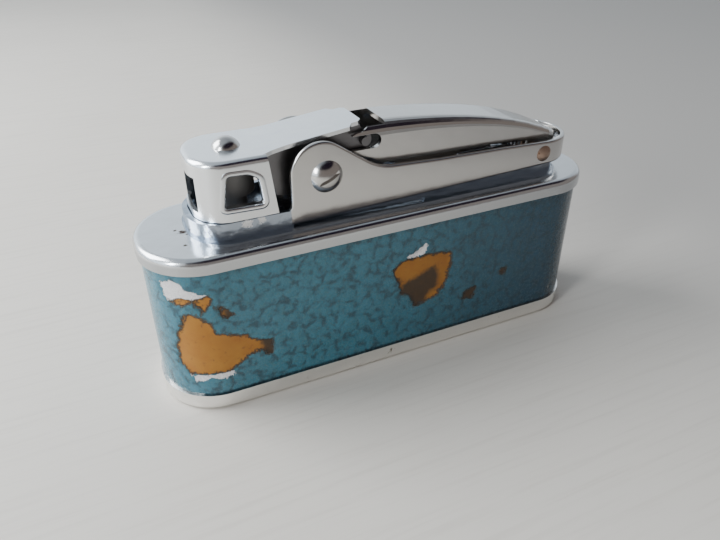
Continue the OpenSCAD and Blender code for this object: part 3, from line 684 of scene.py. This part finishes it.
def wire(bm, path, radius, sides=10):
    """A round wire with blunt rounded ends; its frame is carried from one point to the next."""
    points = [Vector(p) for p in path]
    steps = [(b - a).normalized() for a, b in zip(points, points[1:])]
    ways = [steps[0]] + [(a + b).normalized() for a, b in zip(steps, steps[1:])] + [steps[-1]]
    stations = [(place, way, radius) for place, way in zip(points, ways)]
    nose, tip = 0.35 * radius, 0.6 * radius
    stations.insert(0, (points[0] - ways[0] * nose, ways[0], tip))
    stations.append((points[-1] + ways[-1] * nose, ways[-1], tip))
    side = ways[0].orthogonal().normalized()
    rings = []
    for place, way, r in stations:
        side = (side - way * side.dot(way)).normalized()
        up = way.cross(side)
        angles = [2 * pi * i / sides for i in range(sides)]
        rings.append([bm.verts.new(place + (side * cos(a) + up * sin(a)) * r) for a in angles])
    for low, high in zip(rings, rings[1:]):
        for i in range(sides):
            j = (i + 1) % sides
            bm.faces.new((low[i], low[j], high[j], high[i]))
    bm.faces.new(list(reversed(rings[0])))
    bm.faces.new(rings[-1])


def spring_piece(name, paths, radius, body, replaced=()):
    bm = bmesh.new()
    for path in paths:
        wire(bm, path, radius)
    return new_object(name, bm, "spring_steel", body, replaced, sharp=50)


def coil_path(cx, cz, r, start, turns, y0, y1, steps=24):
    """Points round an axis along Y."""
    count = round(abs(turns) * steps)
    path = []
    for i in range(count + 1):
        a = radians(start + 360 * turns * i / count)
        path.append(Vector((cx + r * cos(a), y0 + (y1 - y0) * i / count, cz + r * sin(a))))
    return path


def middle(node):
    low, high = span(node)
    return (low[0] + high[0]) / 2, (low[2] + high[2]) / 2


def make_torsion_springs():
    """A coil and its fixed leg stay on the case; its other leg turns with the piece it pushes."""
    r = 0.2
    px, pz = middle("lever_pin")
    low, high = span("lever_spring")
    coil_r, half = high[0] - px - r, high[1] - r
    rest = low[2] + r + 0.09
    coil = coil_path(px, pz, coil_r, 90, -4.5, -half, half)
    coil += curved([(px - 1.2, half, rest), (px - 4, half, rest), (low[0] + r, half, rest)])
    spring_piece("lever_spring_coil", [coil], r, "case", ["lever_spring"])
    leg = curved([
        (px - 8.5, -half - 0.1, high[2] - r - 0.03), (px - 4, -half - 0.1, pz + 3.2),
        (px - 1.1, -half, pz + coil_r + 0.35), (px, -half, pz + coil_r),
    ])
    spring_piece("lever_spring_leg", [leg], r, "lever")

    ax, az = middle("axle_screw")
    low, high = span("arm_spring")
    coil_r = ax - low[0] - r - 0.6
    y0, y1 = low[1] + r, high[1] - r
    coil = coil_path(ax, az, coil_r, 90, 2.25, y0, y1)
    coil += curved([
        (ax - coil_r, y1, az - 0.6), (ax - coil_r, y1, az - 1.5), (ax - coil_r - 0.6, y1, low[2] + r),
    ])
    spring_piece("arm_spring_coil", [coil], r, "case", ["arm_spring"])
    leg = curved([(ax + 3.3, y0, az + 2.35), (ax + 1.6, y0, az + 1.85), (ax, y0, az + coil_r)])
    spring_piece("arm_spring_leg", [leg], r, "arm")


def make_flint_coil():
    """Compression spring for the flint."""
    low, high = span("flint_spring")
    r = 0.17
    turns = 14
    cx, cy = (low[0] + high[0]) / 2, (low[1] + high[1]) / 2
    coil_r = (high[0] - low[0]) / 2 - r
    z0, z1 = low[2] + r, high[2] - r
    count = 18 * turns
    path = []
    for i in range(count + 1):
        a = 2 * pi * turns * i / count
        # the end turns lie closer together
        t = i / count
        rise = t - 0.02 * sin(2 * pi * t)
        path.append((cx + coil_r * cos(a), cy + coil_r * sin(a), z0 + (z1 - z0) * rise))
    coil = spring_piece("flint_coil", [path], r, "case", ["flint_spring"])
    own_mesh(coil)


def make_pawl_leaf():
    """Leaf that presses on the pawl."""
    bm = bmesh.new()
    bm.from_mesh(frame["nodes"]["pawl_spring"].data)
    bmesh.ops.scale(bm, vec=(1 / MM,) * 3, verts=bm.verts)
    bmesh.ops.dissolve_limit(bm, angle_limit=radians(0.5), verts=bm.verts, edges=bm.edges)
    bmesh.ops.bevel(bm, geom=bm.edges[:], offset=0.03, segments=2, affect="EDGES")
    leaf = new_object("pawl_leaf", bm, "spring_steel", "arm", ["pawl_spring"], sharp=50)
    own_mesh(leaf)


make_torsion_springs()
make_flint_coil()
make_pawl_leaf()

# ---------------------------------------------------------------- stage, light and camera


def build_floor(g, p):
    tone = g.noise(p, 0.02, 3.0, 0.5)
    stretched = g.add("ShaderNodeVectorMath", {"operation": "MULTIPLY"}, in0=p, in1=(0.05, 1.2, 1.0))
    fibre = g.noise(stretched, 1.0, 4.0, 0.6)
    tint = g.mix(tone, (0.62, 0.575, 0.515), (0.69, 0.645, 0.585))
    tint = g.mix(g.math("MULTIPLY", g.ramp(fibre, 0.45, 0.75), 0.35), tint, (0.50, 0.45, 0.40))
    # painted shade: the table is painted darker towards the lever's end
    stain_and_painted_shade = g.ramp(g.add("ShaderNodeSeparateXYZ", None, Vector=p), 10.0, 80.0)
    tint = g.mix(stain_and_painted_shade, tint, (0.40, 0.375, 0.35))
    return g.add("ShaderNodeBsdfPrincipled", None, Base_Color=tint, Roughness=0.6)


MATS["floor"] = material("floor", build_floor)
bpy.ops.mesh.primitive_plane_add(size=3.0, location=(0, 0, -0.00002))
floor = bpy.context.object
floor.name = "floor"
floor.data.materials.append(MATS["floor"])


def build_world():
    """Soft room light: a bright sky above and behind, a dim wall on the viewer's side."""
    near_sky, top_sky, dim_end = (1.75, 1.95, 2.10), (0.50, 0.56, 0.62), (0.16, 0.17, 0.20)
    wall_colour, band_colour = (0.27, 0.24, 0.225), (0.014, 0.008, 0.020)
    band_height = 0.80
    world = bpy.data.worlds.new("room")
    world.use_nodes = True
    bpy.context.scene.world = world
    g = Graph(world.node_tree)
    way = g.add("ShaderNodeTexCoord").outputs[0]
    parts = g.add("ShaderNodeSeparateXYZ", None, Vector=way)
    x, y, z = parts.outputs
    sky = g.mix(g.ramp(z, 0.15, 0.95), near_sky, top_sky)
    sky = g.mix(g.ramp(x, -0.2, 0.9), sky, g.mix(0.60, sky, dim_end))
    viewer = g.ramp(g.math("MULTIPLY_ADD", y, -1.0, g.math("MULTIPLY", x, 0.45)), 0.05, 0.4)
    wall = g.math("MULTIPLY", viewer, g.ramp(z, 0.99, 0.85))
    tone = g.mix(wall, sky, wall_colour)
    away = g.math("ABSOLUTE", g.math("SUBTRACT", z, band_height))
    band = g.math("MULTIPLY", viewer, g.ramp(away, 0.24, 0.14))
    tone = g.mix(band, tone, band_colour)
    light = g.add("ShaderNodeBackground", None, Color=tone, Strength=1.0)
    g.add("ShaderNodeOutputWorld", None, Surface=light)


build_world()


def area_light(name, place, aim, size, power, colour):
    data = bpy.data.lights.new(name, "AREA")
    data.shape = "RECTANGLE"
    data.size, data.size_y = size
    data.energy = power
    data.color = colour
    obj = bpy.data.objects.new(name, data)
    bpy.context.scene.collection.objects.link(obj)
    way = Vector(aim) - Vector(place)
    obj.matrix_world = Matrix.Translation(place) @ way.to_track_quat("-Z", "Y").to_matrix().to_4x4()


area_light("window", (-0.22, 0.14, 0.20), (-0.03, 0.02, 0), (0.20, 0.20), 1.6, (0.93, 0.97, 1.0))
area_light("lamp", (-0.30, -0.12, 0.18), (-0.02, 0, 0.01), (0.06, 0.14), 0.70, (0.92, 0.97, 1.0))

# The viewing angle: turn round Z, height, roll, distance, point looked at, lens
CAM_TURN = radians(-24.71)
CAM_RISE = radians(31.995)
CAM_ROLL = radians(0.352)
CAM_DISTANCE = 86.07
CAM_TARGET = Vector((-2.44, 0.0, 9.86))
CAM_LENS = 31.97
SENSOR = 36.0


def make_camera():
    data = bpy.data.cameras.new("camera")
    data.sensor_fit = "HORIZONTAL"
    data.sensor_width = SENSOR
    data.lens = CAM_LENS
    data.clip_start = 0.001
    camera = bpy.data.objects.new("camera", data)
    bpy.context.scene.collection.objects.link(camera)
    back = Vector((sin(CAM_TURN) * cos(CAM_RISE), -cos(CAM_TURN) * cos(CAM_RISE), sin(CAM_RISE)))
    right = (-back).cross(Vector((0, 0, 1))).normalized()
    down = (-back).cross(right)
    side = cos(CAM_ROLL) * right + sin(CAM_ROLL) * down
    low = -sin(CAM_ROLL) * right + cos(CAM_ROLL) * down
    matrix = Matrix((side, -low, back)).transposed().to_4x4()
    matrix.translation = (CAM_TARGET + back * CAM_DISTANCE) * MM
    camera.matrix_world = matrix
    bpy.context.scene.camera = camera


make_camera()
